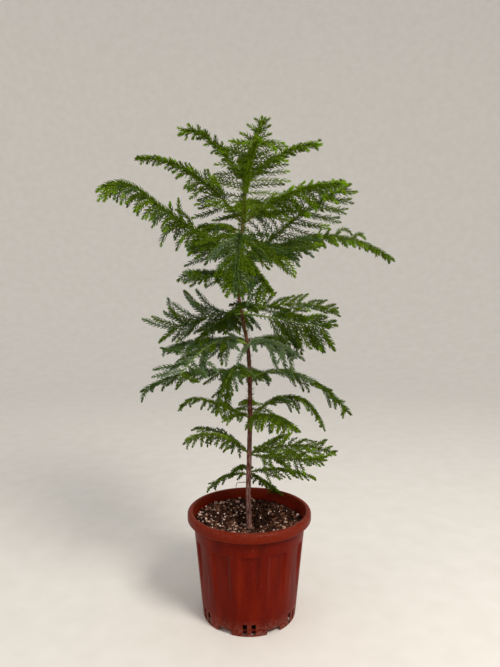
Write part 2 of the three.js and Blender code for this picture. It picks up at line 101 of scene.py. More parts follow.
# Adds a node with its properties, inputs and colour stops
def addNode(tree, kind, inputs=None, stops=None, **properties):
    node = tree.nodes.new("ShaderNode" + kind)
    for name, value in properties.items():
        setattr(node, name, value)
    setInputs(node, inputs or {})
    if stops:
        ramp = node.color_ramp.elements
        ramp[0].position, ramp[1].position = stops[0][0], stops[-1][0]
        ramp[0].color, ramp[1].color = hexColour(stops[0][1]), hexColour(stops[-1][1])
        for place, code in stops[1:-1]:
            ramp.new(place).color = hexColour(code)
    return node


def startMaterial(name, roughness, ior, sheen=0.5):
    material = bpy.data.materials.new(name)
    material.use_nodes = True
    shader = material.node_tree.nodes["Principled BSDF"]
    setInputs(shader, {"Roughness": roughness, "IOR": ior, "Specular IOR Level": sheen})
    add = partial(addNode, material.node_tree)
    return material, shader, add, add("TexCoord").outputs["Object"]


# Moulded polypropylene: a satin skin with faint flow marks and painted sheen streaks, paler and rubbed at
# foot and rim
def mouldedPolypropylene():
    material, shader, add, place = startMaterial("mouldedPolypropylene", 0.4, 1.49, sheen=0.07)
    # upright bands of lighter and darker red: painted sheen streaks of the satin skin, and uneven tone as
    # well; the roughness follows them
    sheenBands = add("Mapping", {"Vector": place, "Scale": drawnOut(24, 150)})
    toneAndSheen = add("TexNoise", {"Vector": sheenBands, "Scale": 1.0, "Detail": 3.0})
    base = add("ValToRGB", {"Fac": toneAndSheen}, [(0.3, "#560d00"), (0.5, "#640f00"), (0.72, "#741a00")])
    height = add("SeparateXYZ", {"Vector": place}).outputs["Z"]
    rim = add("MapRange", {"Value": height, "From Min": 192 * mm, "From Max": 197 * mm})
    faded = add("Mix", {mixShare: rim, mixFrom: base, mixTo: hexColour("#6c1a04")}, data_type="RGBA")
    # dusty rubbing: specks near the foot, where the pot has been dragged, and a few on the rim
    foot = add("MapRange", {"Value": height, "From Min": 34 * mm, "From Max": 2 * mm})
    top = add("MapRange", {"Value": height, "From Min": 199 * mm, "From Max": 214 * mm, "To Max": 0.3})
    ends = add("Math", {0: foot, 1: top}, operation="MAXIMUM")
    speck = add("TexNoise", {"Vector": place, "Scale": perMetre(5), "Detail": 6.0, "Roughness": 0.7})
    worn = add("MapRange", {"Value": speck, "From Min": 0.42, "From Max": 0.68})
    rubbed = add("Math", {0: ends, 1: worn}, operation="MULTIPLY")
    # fine upright scratches all over
    long = add("Mapping", {"Vector": place, "Scale": drawnOut(1.6, 28)})
    scratch = add("TexNoise", {"Vector": long, "Scale": 1.0})
    fine = add("MapRange", {"Value": scratch, "From Min": 0.66, "From Max": 0.8, "To Max": 0.35})
    wear = add("Math", {0: rubbed, 1: fine}, operation="MAXIMUM")
    dusty = add("Mix", {mixShare: wear, mixFrom: faded, mixTo: hexColour("#8a5d50")}, data_type="RGBA")
    dull = add("MapRange", {"Value": toneAndSheen, "From Min": 0.3, "From Max": 0.7, "To Min": 0.33,
                            "To Max": 0.47})
    flow = add("TexNoise", {"Vector": place, "Scale": perMetre(24)})
    waves = add("Bump", {"Height": flow, "Strength": 0.25, "Distance": 1.2 * mm})
    # the mould's grain is drawn several times too coarse, so that it shows
    grain = add("TexNoise", {"Vector": place, "Scale": perMetre(1.4)})
    bump = add("Bump", {"Height": grain, "Strength": 0.12, "Distance": 0.3 * mm, "Normal": waves})
    setInputs(shader, {"Base Color": dusty, "Roughness": dull, "Normal": bump})
    return material


# Composted bark, perlite: crumbly and matt, each bit mottled from one tone to another
def crumb(name, dark, light, size):
    material, shader, add, place = startMaterial(name, 0.95, 1.45, sheen=0.1)
    mottle = add("TexNoise", {"Vector": place, "Scale": perMetre(size), "Detail": 4.0})
    tone = add("ValToRGB", {"Fac": mottle}, [(0.32, dark), (0.68, light)])
    bump = add("Bump", {"Height": mottle, "Strength": 0.6, "Distance": 0.6 * mm})
    setInputs(shader, {"Base Color": tone, "Normal": bump})
    return material


# Young conifer bark: mauve-brown and streaked with pale grey low down, red-brown in the middle, green above
def youngBark():
    material, shader, add, place = startMaterial("youngBark", 0.7, 1.45, sheen=0.2)
    height = add("SeparateXYZ", {"Vector": place}).outputs["Z"]
    rise = add("MapRange", {"Value": height, "From Min": 168 * mm, "From Max": 905 * mm})
    age = add("ValToRGB", {"Fac": rise}, [(0.0, "#84574f"), (0.16, "#7d4f46"), (0.34, "#5f3020"),
                                          (0.6, "#663f1a"), (0.78, "#6b5a2c"), (1.0, "#6c7a30")])
    long = add("Mapping", {"Vector": place, "Scale": drawnOut(1.5, 11)})
    streak = add("TexNoise", {"Vector": long, "Scale": 1.0, "Detail": 4.0})
    pale = add("MapRange", {"Value": streak, "From Min": 0.52, "From Max": 0.66})
    low = add("MapRange", {"Value": height, "From Min": 420 * mm, "From Max": 250 * mm, "To Min": 0.3,
                           "To Max": 0.85})
    amount = add("Math", {0: pale, 1: low}, operation="MULTIPLY")
    furrow = add("MapRange", {"Value": streak, "From Min": 0.46, "From Max": 0.36})
    dark = add("Mix", {mixShare: furrow, mixFrom: age, mixTo: hexColour("#2a160e")}, data_type="RGBA")
    grey = add("Mix", {mixShare: amount, mixFrom: dark, mixTo: hexColour("#c4a8a2")}, data_type="RGBA")
    bump = add("Bump", {"Height": streak, "Strength": 0.7, "Distance": 0.7 * mm})
    setInputs(shader, {"Base Color": grey, "Normal": bump})
    return material


# Green twig skin and needles: a waxy skin whose green drifts a little from place to place
def waxySkin(name, dark, light, roughness=0.6):
    material, shader, add, place = startMaterial(name, roughness, 1.42, sheen=0.09)
    drift = add("TexNoise", {"Vector": place, "Scale": perMetre(14), "Detail": 3.0})
    setInputs(shader, {"Base Color": add("ValToRGB", {"Fac": drift}, [(0.3, dark), (0.7, light)])})
    return material


# A flat studio surface with a barely visible tooth
def studioPaint():
    material, shader, add, place = startMaterial("studioPaint", 0.85, 1.45)
    tooth = add("TexNoise", {"Vector": place, "Scale": perMetre(60)})
    setInputs(shader, {"Base Color": add("ValToRGB", {"Fac": tooth}, [(0.3, "#efede9"), (0.7, "#f4f2ef")])})
    return material


def addObject(name, data):
    thing = bpy.data.objects.new(name, data)
    scene.collection.objects.link(thing)
    return thing


def addPiece(name, mesh, material):
    mesh.materials.append(material)
    piece = addObject(name, mesh)
    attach(piece, "root")
    return piece


def meshOf(name, bm, creaseAngle=None):
    bmesh.ops.recalc_face_normals(bm, faces=bm.faces)
    mesh = bpy.data.meshes.new(name)
    bm.to_mesh(mesh)
    bm.free()
    mesh.shade_smooth()
    if creaseAngle:
        mesh.set_sharp_from_angle(angle=math.radians(creaseAngle))
    return mesh


# A piece from points in millimetres and triangles, which are rows of three point numbers
def addArrays(name, points, triangles, material, slot, smooth=True):
    mesh = bpy.data.meshes.new(name)
    mesh.vertices.add(len(points))
    mesh.vertices.foreach_set("co", (points * mm).astype(np.float32).ravel())
    mesh.loops.add(triangles.size)
    mesh.loops.foreach_set("vertex_index", triangles.astype(np.int32).ravel())
    mesh.polygons.add(len(triangles))
    mesh.polygons.foreach_set("loop_start", np.arange(0, triangles.size, 3, dtype=np.int32))
    mesh.update(calc_edges=True)
    if smooth:
        mesh.shade_smooth()
    return addPiece(name, mesh, material)


def unit(vectors):
    return vectors / np.maximum(np.linalg.norm(vectors, axis=-1, keepdims=True), 1e-9)


# Direction of a line at a share of its length
def heading(line, share):
    return unit(line(min(1, share + hair)) - line(max(0, share - hair)))


# Turns one shape's triangles into those of many copies that follow each other in one point list
def repeated(triangles, pointsEach, count):
    return (triangles[None] + (np.arange(count) * pointsEach)[:, None, None]).reshape(-1, 3)


def blend(start, end, share):
    return start + (end - start) * share


# Directions or coordinates turned by an angle towards others that are square to them
def turned(start, towards, angle):
    return np.cos(angle) * start + np.sin(angle) * towards


# Length of a path up to each of its points
def lengthAlong(path):
    return np.concatenate([[0], np.cumsum(np.linalg.norm(np.diff(path, axis=0), axis=1))])


# Chance up to an amount either way
def spread(amount, size=None):
    return (2 * draw.random(size) - 1) * amount


# Pot

pot = settings(
    height=214, collarHeight=20, topRadius=113, footRadius=94.5, wall=2.4,
    steps=144,  # round the wall, 2.5 degrees each
    rows=(0, 3, 10, 25, 34, 48, 64, 80, 96, 112, 128, 142, 153, 161, 162.8, 178, 197),
    panels=12, panelEdges={3: 7.5, 4: 9.2},  # steps from a panel's middle, and the degrees they move to
    panelSteps=3, panelTop=162, panelLine=164, panelDepth=4.4, panelFade=(26, 140),
    feet=6, slotInner=2.5, slotOuter=7.5, slotFoot=3, slotTop=25,
    notchCut=7.5, notchTop=6, notchFoot=9.4, notchHeight=10, notchBlend=10,  # half widths in degrees
    edgeRound=0.5, edgeAngle=24, creaseAngle=30,
)
collar = settings(
    radius=125, lipRadius=114.5, footRound=3.4, footDrop=15.6, topRound=6.6, topGap=0.12,
    lipWide=2.6, lipTall=2.8, lipGap=0.25, arcSteps=(5, 7, 5),  # gaps are in radians
    under=((-1, 1.5), (2, 1.2)),  # from the wall's top radius and the collar's foot
    inside=((0.2, 2), (0.4, -3)),  # from the wall's inner radius and the collar's foot
    creaseAngle=40,
)
potBase = settings(
    top=13, under=11, radius=92, hub=0.5, groove=((48, 0), (50, 1), (66, 1), (68, 0)),  # radius, depth
    ringRadius=84, ringWall=2, ringFoot=0.6, steps=72, creaseAngle=30,
)


def wallRadius(height):
    share = height / (pot.height - pot.collarHeight)
    return blend(pot.footRadius, pot.topRadius, share)


# Degrees of a point from the middle of the nearest of so many repeats, the first one at the pot's front
def fromRepeat(point, count):
    pitch = 360 / count
    turn = math.degrees(math.atan2(point.x, -point.y))
    return (turn + pitch / 2) % pitch - pitch / 2


def turnPoint(vert, degrees):
    vert.co = Matrix.Rotation(math.radians(degrees), 3, "Z") @ vert.co


def spun(bm, profile, steps, closed=False):
    verts = [bm.verts.new((0, -radius * mm, height * mm)) for radius, height in profile]
    pairs = list(zip(verts, verts[1:])) + ([(verts[-1], verts[0])] if closed else [])
    edges = [bm.edges.new(pair) for pair in pairs]
    bmesh.ops.spin(bm, geom=verts + edges, cent=(0, 0, 0), axis=(0, 0, 1), angle=2 * math.pi, steps=steps,
                   use_merge=True)
    bmesh.ops.remove_doubles(bm, verts=bm.verts, dist=0.001 * mm)


# Points on a quarter of an ellipse, for a profile
def arc(radius, height, wide, tall, angles, steps):
    return [(radius + wide * math.sin(a), height + tall * math.cos(a)) for a in np.linspace(*angles, steps)]


def makePotWall(material):
    bm = bmesh.new()
    spun(bm, [(wallRadius(h), h) for h in pot.rows], pot.steps)
    notchEdge = 180 / pot.feet - pot.notchCut
    gone = []
    for face in bm.faces:
        centre = face.calc_center_median()
        height = centre.z / mm
        turn = abs(fromRepeat(centre, pot.feet))
        inSlot = pot.slotInner < turn < pot.slotOuter and pot.slotFoot < height < pot.slotTop
        inNotch = turn > notchEdge and height < pot.notchHeight
        if inSlot or inNotch:
            gone.append(face)
    bmesh.ops.delete(bm, geom=gone, context="FACES")
    for vert in bm.verts:  # notches widen towards the ground
        height = vert.co.z / mm
        turn = fromRepeat(vert.co, pot.feet)
        past = notchEdge - abs(turn)
        if height < pot.notchHeight + slack and -slack < past < pot.notchBlend:
            half = pot.notchFoot + (pot.notchTop - pot.notchFoot) * height / pot.notchHeight
            turnPoint(vert, -math.copysign((half - pot.notchCut) * (1 - past / pot.notchBlend), turn))
    low, high = pot.panelFade
    for vert in bm.verts:  # panels are pressed in, and run out towards the foot
        height = vert.co.z / mm
        turn = fromRepeat(vert.co, pot.panels)
        step = round(abs(turn) * pot.steps / 360)
        if low < height < pot.panelLine:
            if step in pot.panelEdges:
                turnPoint(vert, math.copysign(pot.panelEdges[step] - abs(turn), turn))
            if height < pot.panelTop and step <= pot.panelSteps:
                share = min(1.0, (height - low) / (high - low))
                depth = pot.panelDepth * share * share * (3 - 2 * share)
                vert.co -= Vector((vert.co.x, vert.co.y, 0)).normalized() * depth * mm
    piece = addPiece("potWall", meshOf("potWall", bm, pot.creaseAngle), material)
    thick = piece.modifiers.new("wall", "SOLIDIFY")
    thick.thickness = pot.wall * mm
    thick.offset = -1.0
    edge = piece.modifiers.new("edges", "BEVEL")
    edge.width = pot.edgeRound * mm
    edge.segments = 2
    edge.limit_method = "ANGLE"
    edge.angle_limit = math.radians(pot.edgeAngle)
    return piece


# The rolled collar: its section is a closed ring, round outside and over the top
def makePotCollar(material):
    top, radius, quarter = pot.height, collar.radius, math.pi / 2
    foot = top - pot.collarHeight
    low, over = collar.footRound, collar.topRound
    wide, tall = collar.lipWide, collar.lipTall
    footSteps, topSteps, lipSteps = collar.arcSteps
    profile = [(pot.topRadius + x, foot + z) for x, z in collar.under]
    profile += arc(radius - low, top - collar.footDrop, low, -low, (0, quarter), footSteps)
    profile += arc(radius - over, top - over, over, over, (quarter - collar.topGap, 0), topSteps)
    profile += arc(collar.lipRadius + wide, top - tall, -wide, tall, (collar.lipGap, quarter), lipSteps)
    profile += [(wallRadius(foot) - pot.wall + x, foot + z) for x, z in collar.inside]
    bm = bmesh.new()
    spun(bm, profile, pot.steps, closed=True)
    return addPiece("potCollar", meshOf("potCollar", bm, collar.creaseAngle), material)


# The raised floor on an inner foot ring
def makePotFloor(material):
    top, under, radius, hub = (potBase[key] for key in ("top", "under", "radius", "hub"))
    ring, foot = potBase.ringRadius, potBase.ringFoot
    inner = ring - potBase.ringWall
    profile = [(hub, top)] + [(r, top - depth) for r, depth in potBase.groove]
    profile += [(radius, top), (radius, under), (ring, under), (ring, foot), (inner, foot), (inner, under)]
    bm = bmesh.new()
    spun(bm, profile + [(hub, under)], potBase.steps, closed=True)
    bmesh.ops.holes_fill(bm, edges=bm.edges)
    return addPiece("potFloor", meshOf("potFloor", bm, potBase.creaseAngle), material)


plastic = mouldedPolypropylene()
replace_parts(makePotWall(plastic), "pot")
makePotCollar(plastic)
makePotFloor(plastic)
print("pot made")


# Potting mix: a lumpy bed strewn with bark chips and perlite, hollow round the stem and heaped at the left

mix = settings(
    rings=((0, 168), (11, 169), (30, 175), (58, 185), (90, 191), (111, 189)),  # radius, height
    heap=5, heapReach=100, heapStart=50,
    lump=1.8, lumpSize=9, lumpNoise=(0.8, 2.0, 3),  # roughness, spacing and number of layers
    edge=109.5, wallGap=7, sideRows=(158, 26, 14), bedSteps=96, bedRings=26, ringGather=0.85, strewnTo=107,
)
# A kind of bit takes these shares of the places left and right of an edge, and fewer near the stem, where
# the bare dark compost is a painted shadow round the stem's foot
bits = settings(edge=0, left=1, right=1, stemGap=0, near=1)
chipKinds = (
    settings(name="darkBarkChips", count=1500, sizes=(4, 12), lift=3,
             bark=("darkBark", "#1c0e09", "#452b20", 4)),
    settings(name="brownBarkChips", count=640, sizes=(3.5, 11), lift=4, left=0.9, right=0.9, stemGap=26,
             near=0.35 / 0.9, bark=("brownBark", "#452a1e", "#7c5543", 4)),
    settings(name="tanBarkChips", count=170, sizes=(3, 9), lift=4.5, left=0.9, right=0.3,
             bark=("tanBark", "#a07c6a", "#cfab99", 3)),
)
chips = settings(width=0.35, widthSpread=0.4, thickness=0.2, thicknessSpread=0.25, jitter=0.35, tilt=55)
perlite = settings(count=150, size=1.3, sizeSpread=2.1, squash=0.7, squashSpread=0.5, jitter=0.22, tilt=60,
                   lift=2, liftSpread=2, edge=5, left=0.95, right=0.25, stemGap=30, near=0.25)


def mixHeight(x, y):
    radius = np.hypot(x, y)
    rings = np.array(mix.rings)
    tilt = -mix.heap * np.clip(x / mix.heapReach, -1, 1) * np.clip(radius / mix.heapStart, 0, 1)
    return np.interp(radius, rings[:, 0], rings[:, 1]) + tilt


def makeMixBed(material):
    bm = bmesh.new()
    radii = np.linspace(0, 1, mix.bedRings) ** mix.ringGather * mix.edge
    sides = [(wallRadius(h) - mix.wallGap, h) for h in mix.sideRows]
    spun(bm, [(r, 0) for r in radii] + sides + [(0, mix.sideRows[-1])], mix.bedSteps)
    for vert in bm.verts:
        if vert.co.z < mm:  # the top starts flat at the ground, and is raised
            x, y = vert.co.x / mm, vert.co.y / mm
            rough = noise.fractal(Vector((x, y, 0)) / mix.lumpSize, *mix.lumpNoise) * mix.lump
            vert.co.z += (float(mixHeight(x, y)) + rough) * mm
    return addPiece("mixBed", meshOf("mixBed", bm), material)


# Places on the bed for one kind of bit
def onBed(kind):
    kind = settings({**bits, **kind})
    places = []
    while len(places) < kind.count:
        radius = mix.strewnTo * math.sqrt(draw.random())
        angle = 2 * math.pi * draw.random()
        x, y = radius * math.cos(angle), radius * math.sin(angle)
        taken = kind.left if x < kind.edge else kind.right
        # pale bits are thinned near the stem, so that the dark compost paints the shadow round its foot
        if draw.random() < taken * (1 if math.hypot(x, y) > kind.stemGap else kind.near):
            places.append((x, y))
    places = np.array(places)
    return np.column_stack([places, mixHeight(places[:, 0], places[:, 1])])


# Jittered, squashed copies of one shape, turned anyhow and tilted, lying at the places
def strewn(name, shape, triangles, places, sizes, look, material):
    count = len(places)
    points = shape[None] * (1 + spread(look.jitter, (count, len(shape), 3))) * sizes[:, None]
    lean = spread(np.radians(look.tilt), (count, 1))
    turn = 2 * math.pi * draw.random((count, 1))
    x, y, z = np.moveaxis(points, -1, 0)
    y, z = turned(y, -z, lean), turned(z, y, lean)
    x, y = turned(x, -y, turn), turned(y, x, turn)
    points = np.stack([x, y, z], -1) + places[:, None]
    triangles = repeated(triangles, len(shape), count)
    return addArrays(name, points.reshape(-1, 3), triangles, material, "potting_mix", smooth=False)


def shapeArrays(maker, **sizes):
    bm = bmesh.new()
    maker(bm, **sizes)
    bmesh.ops.triangulate(bm, faces=bm.faces)
    bm.verts.index_update()
    points = np.array([v.co for v in bm.verts])
    triangles = np.array([[v.index for v in f.verts] for f in bm.faces])
    bm.free()
    return points, triangles


def makeChips(kind):
    count = kind.count
    shape, triangles = shapeArrays(bmesh.ops.create_cube, size=2.0)
    low, high = kind.sizes
    length = blend(low, high, draw.random(count) ** 2)
    width = length * (chips.width + chips.widthSpread * draw.random(count))
    thickness = length * (chips.thickness + chips.thicknessSpread * draw.random(count))
    places = onBed(kind)
    places[:, 2] += kind.lift * draw.random(count)
    half = np.column_stack([length, width, thickness]) / 2
    return strewn(kind.name, shape, triangles, places, half, chips, crumb(*kind.bark))


def makePerlite(material):
    count = perlite.count
    shape, triangles = shapeArrays(bmesh.ops.create_icosphere, subdivisions=1, radius=1.0)
    places = onBed(perlite)
    places[:, 2] += perlite.lift + perlite.liftSpread * draw.random(count)
    sizes = perlite.size + perlite.sizeSpread * draw.random((count, 1)) ** 2
    sizes = sizes * (perlite.squash + perlite.squashSpread * draw.random((count, 3)))
    return strewn("perliteBits", shape, triangles, places, sizes, perlite, material)


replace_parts(makeMixBed(crumb("darkCompost", "#080302", "#22120b", 3)), "potting_mix")
for kind in chipKinds:
    makeChips(kind)
makePerlite(crumb("perlite", "#cdaa9c", "#efe0d6", 2))
print("potting mix made")


# Tiers of fronds from the lowest up

def frond(side, reach, lift, rise, **more):
    return dict(side=side, reach=reach, lift=lift, rise=rise, **more)


# What every frond has, unless its tier or the frond itself says otherwise. Above is its foot's height over
# the tier's, tones are shares of the greens below, and tips the share of shoots that end in bright growth.
# Uprights stand on the rib (share of the reach, length, curl) and hangers droop from it (share, length).
shoots = settings(
    above=0, nod=0, nodStart=0.7, boughs=False, boughShare=0.16, uprights=(), hangers=(),
    spacing=15, fewest=4, first=0.14, last=0.97, shift=0.3, least=13, taper=0.8, uneven=0.24, left=1,
    rootAngle=60, tipAngle=38, curl=0, roll=0, sags=(0.5, 1.5), dip=0.2, jitter=11, wander=0.16,
    needle=1, density=1.2, ribDensity=1.6, ribBare=0.08, boughBare=0.06, boughFrom=0.02, boughNeedle=0.85,
    steps=8, radius=0.75, tipRadius=0.4, sides=5, samples=60,
    ribRadius=2.0, ribTipRadius=0.7, ribThinning=0.8, ribSteps=26, ribSides=7, boughRadius=1.5,
)
hanger = settings(aside=0.5, drop=0.4, ahead=0.2, tipAside=0.4)
upright = settings(ahead=0.3, out=0.1, needle=0.8, density=1.6)  # close brushes
flatHand = dict(hang=0.05, roll=35, rootAngle=48, tipAngle=26, spacing=11, uneven=0.4, jitter=18,
                wander=0.4)
loose = dict(jitter=24, wander=0.6)
tiers = (
    settings(height=289, hang=0.35, width=0.3, needle=0.64, tips=0.05, tones=(4, 5, 0, 0, 0), fronds=(
        frond(180, 81, -29, 19, above=-6, roll=30, jitter=20, wander=0.5),
        frond(12, 140, -22, 10, width=0.22, jitter=18, wander=0.4),
        frond(55, 112, -77, -30),
        frond(108, 80, -20, 15))),
    settings(height=326, hang=0.3, width=0.25, needle=0.68, tips=0.12, tones=(3, 6, 1, 0, 0), fronds=(
        frond(212, 139, 51, 46, hang=0.9, width=0.1, least=20, spacing=12),
        frond(160, 120, 43, 42, hang=0.1, width=0.15),
        frond(6, 175, -3, 20, **flatHand),
        frond(322, 177, 22, 3, **flatHand),
        frond(50, 125, 15, 12, width=0.12))),
    settings(height=400, hang=0.35, width=0.26, needle=0.7, tips=0.06, tones=(2, 6, 2, 1, 0), fronds=(
        frond(300, 154, 15, 23, hang=0.7, needle=0.85, spacing=10),
        frond(170, 148, 11, 27, width=0.12, nod=30, **loose),
        frond(14, 160, -34, 46, hang=0.5, width=0.2, nod=30, hangers=((0.36, 40), (0.46, 48), (0.55, 32)),
              **loose),
        frond(92, 125, 10, 25),
        frond(215, 58, -2, 22, above=6))),
    settings(height=482, hang=0.5, width=0.3, needle=0.82, wander=0.5, tips=0,
             tones=(4, 2, 0, 4, 1), fronds=(
        frond(352, 199, -67, 26, hang=0.3, width=0.14, least=24, spacing=20, uneven=0.5, jitter=28,
              wander=0.7, hangers=((0.42, 42), (0.5, 36), (0.72, 42))),
        frond(183, 214, -25, 20, width=0.14, least=26, spacing=22, uneven=0.5),
        frond(245, 140, -45, 48, hang=0.8, hangers=((0.5, 90), (0.7, 70))),
        frond(85, 165, -30, 15))),
    settings(height=549, hang=0.45, width=0.36, needle=0.85, wander=0.5, tips=0,
             tones=(1, 1, 0, 4, 5), fronds=(
        frond(230, 185, -43, 25, hang=0.2, width=0.15, least=62, spacing=16, left=0.75, uneven=0.4,
              jitter=20, wander=0.7, ribDensity=0.4,
              hangers=((0.16, 66), (0.28, 60), (0.5, 56), (0.62, 50))),
        frond(305, 142, -2, 17, hang=0.7, width=0.3, least=26, spacing=21, jitter=24, wander=0.7,
              hangers=((0.45, 66), (0.6, 64), (0.75, 60))),
        frond(172, 171, -15, 16, jitter=20, wander=0.6),
        frond(55, 130, 5, 14),
        frond(118, 165, -20, 15))),
    settings(height=610, hang=0.25, width=0.38, needle=0.85, wander=0.3, tips=0.08,
             tones=(5, 4, 0, 2, 0), fronds=(
        frond(12, 200, 2, 20, hang=-0.05, width=0.15, least=22, spacing=18, uneven=0.35, roll=40,
              needle=0.75, density=1.5, rootAngle=45, tipAngle=32),
        frond(320, 200, -19, -3, first=0.34, hang=0.2, width=0.2, least=46, spacing=8, roll=72, left=0.5,
              needle=0.95, ribDensity=0.5, rootAngle=44, tipAngle=30),
        frond(192, 140, -34, -6, above=6, hang=-0.1, width=0.08, least=48, left=1.3, spacing=11, roll=55,
              needle=0.92, density=1.1, ribDensity=0.8, tones=(0, 4, 1, 2, 3), rootAngle=38,
              tipAngle=42, curl=22),
        frond(222, 110, -48, 0, hang=0.7, width=0.3, spacing=13),
        frond(100, 165, -45, 12, hang=0.8, width=0.42, spacing=12),
        frond(280, 85, 4, 30, above=8, hang=0.4, width=0.5))),
    settings(height=700, density=1, hang=0.55, width=0.4, boughs=True, ribDensity=1.8, tips=0.25,
             tones=(4, 5, 0, 2, 0), fronds=(
        frond(187, 272, 121, 26, above=22, first=0.3, last=0.9, hang=1.0, width=0.02, nod=70, least=40,
              taper=0, spacing=13, tips=0.4, tones=(2, 6, 2, 1, 0), rootAngle=22, tipAngle=48,
              uprights=((0.49, 22, 0), (0.42, 42, 0), (0.34, 50, 1.2)), hangers=((0.38, 74), (0.3, 60))),
        frond(8, 315, 27, 40, above=-10, hang=0.75, width=0.28, least=15, taper=2.2, spacing=14,
              tones=(1, 6, 2, 2, 0), rootAngle=50, tipAngle=40,
              uprights=((0.62, 44, 2.4), (0.73, 36, 2.4), (0.5, 12, 0.3), (0.55, 15, 0.5))),
        frond(267, 160, -92, 38, above=40, hang=0.35, width=0.6, spacing=9, uneven=0.35, jitter=18, tips=0,
              tones=(0, 6, 0, 3, 1)),
        frond(355, 210, 157, 45, hang=0, width=0.5, roll=75, curl=75, left=0.75, spacing=13, needle=0.95,
              density=0.8, jitter=6, wander=0.08),
        frond(60, 198, 50, 35),
        frond(122, 200, 60, 38),
        frond(228, 142, 2, 4, above=-14, hang=0.5, width=0.26, least=18, spacing=14, uneven=0.5, wander=0.4,
              tips=0, tones=(1, 4, 0, 4, 1)),
        frond(205, 112, -18, 41, above=57, hang=0.6, width=0.35, spacing=20, density=0.85, ribDensity=1,
              tips=0.1, tones=(4, 2, 0, 4, 0), **loose),
        frond(292, 146, -72, -20, above=22, hang=0.3, width=0.5, taper=0.4, left=0.2, spacing=9, tips=0,
              tones=(0, 6, 0, 3, 1)))),
    settings(height=785, density=1, hang=0.3, width=0.4, boughs=True, needle=1.02, ribDensity=2.1,
             tips=0.45, tones=(3, 5, 3, 0, 0), fronds=(
        frond(172, 212, 131, 53, width=0.42, taper=2.6, least=9, roll=60, left=0.6, spacing=11),
        frond(350, 197, 70, 38, width=0.42, roll=45, left=0.5, spacing=12, tones=(2, 4, 5, 0, 0), tips=0.8,
              uneven=0.45, wander=0.5, uprights=((0.45, 16, 0.5), (0.55, 20, 0.6), (0.65, 14, 0.4))),
        frond(285, 128, 127, 68, hang=0.3, width=0.56, taper=0.5, first=0.08, spacing=12.5, uneven=0.1,
              jitter=3, wander=0.05, needle=0.95, density=0.72, rootAngle=76, tipAngle=64),
        frond(165, 88, 11, 20, above=-14, tips=0),
        frond(85, 168, 70, 35))),
    settings(height=862, density=1, hang=0.1, width=0.03, spacing=17, least=12, needle=1.1, ribDensity=2.1,
             tips=0.3, tones=(4, 5, 2, 0, 0), fronds=(
        frond(178, 126, 95, 58, nod=15, roll=55, uprights=((0.38, 20, 1.2), (0.58, 18, 1.2))),
        frond(4, 146, 77, 46, roll=50),
        frond(278, 70, 45, 40, hang=0.25, width=0.2, needle=0.9),
        frond(92, 140, 80, 45))),
)


# Stem

stem = settings(
    sway=((160, 0), (168, 0), (250, -2), (325, 0), (470, 1), (545, -3), (605, -14), (660, -22), (700, -18),
          (785, -13), (862, -8), (905, -1), (940, 12), (990, 32)),  # height, sideways
    radii=((160, 7.5), (168, 7), (182, 5.4), (460, 4.4), (600, 3.3), (785, 2.7), (905, 2),
           (990, 1)),  # height, radius
    foot=162, tip=908, leaderTip=984, sides=20, rings=300,
    knuckle=0.5, knuckleLength=7,  # swelling where a tier of fronds grows out
    furrow=0.3, furrowLength=16, furrowsPerMm=0.8, scar=0.22, scarLength=2.6, scarsPerMm=0.35,
    youngFrom=600, youngRelief=0.6,
)
offLimbs = np.array([0.12, 1.0, 0.05])  # a direction that no limb follows


# Middle of the stem at a height, on a smooth curve through the sway points
def stemAt(height):
    heights, sides = np.array(stem.sway, float).T
    slopes = np.gradient(sides, heights)
    i = np.clip(np.searchsorted(heights, height) - 1, 0, len(heights) - 2)
    span = heights[i + 1] - heights[i]
    t = (height - heights[i]) / span
    x = ((2 * t**3 - 3 * t**2 + 1) * sides[i] + (t**3 - 2 * t**2 + t) * span * slopes[i]
         + (3 * t**2 - 2 * t**3) * sides[i + 1] + (t**3 - t**2) * span * slopes[i + 1])
    return np.stack([x, np.zeros_like(x), np.asarray(height, float)], -1)


def stemRadius(height):
    heights, radii = np.array(stem.radii, float).T
    return np.interp(height, heights, radii)


# A bark-covered limb: a cylinder cut into rings and bent along a line, its relief pushed out of the skin
def barkLimb(bm, lineAt, radiusAt, sides, rings, relief):
    limb = bmesh.new()
    bmesh.ops.create_cone(limb, cap_ends=True, segments=sides, radius1=1, radius2=1, depth=1)
    long = [e for e in limb.edges if abs(e.verts[0].co.z - e.verts[1].co.z) > 0.5]
    bmesh.ops.subdivide_edges(limb, edges=long, cuts=rings)
    for vert in limb.verts:
        share = vert.co.z + 0.5
        middle = lineAt(share)
        ahead = heading(lineAt, share)
        across = unit(np.cross(ahead, offLimbs))
        top = np.cross(across, ahead)
        radius = radiusAt(share)
        outward = vert.co.x * across - vert.co.y * top
        grown = radius + relief(middle + outward * radius, share)
        vert.co = Vector((middle + outward * grown) * mm)
    mesh = bpy.data.meshes.new("limb")
    limb.to_mesh(mesh)
    limb.free()
    bm.from_mesh(mesh)
    bpy.data.meshes.remove(mesh)


def stemHeight(share):
    return blend(stem.foot, stem.tip, share)


def stemRelief(point, share):
    height = stemHeight(share)
    knuckles = sum(math.exp(-((height - tier.height) / stem.knuckleLength) ** 2) for tier in tiers)
    wide, fine = stem.furrowsPerMm, stem.scarsPerMm
    lengthwise = Vector((point[0] * wide, point[1] * wide, height / stem.furrowLength))
    crosswise = Vector((point[0] * fine, point[1] * fine, height / stem.scarLength))
    fade = 1 if height < stem.youngFrom else stem.youngRelief
    rough = noise.noise(lengthwise) * stem.furrow + noise.noise(crosswise) * stem.scar
    return knuckles * stem.knuckle + fade * rough


bm = bmesh.new()
barkLimb(bm, lambda s: stemAt(np.array(stemHeight(s))), lambda s: float(stemRadius(stemHeight(s))),
         stem.sides, stem.rings, stemRelief)
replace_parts(addPiece("trunkBark", meshOf("trunkBark", bm), youngBark()), "trunk")
print("stem made")


# Fronds: the tiers of the part, each frond grown again with finer side shoots and needles

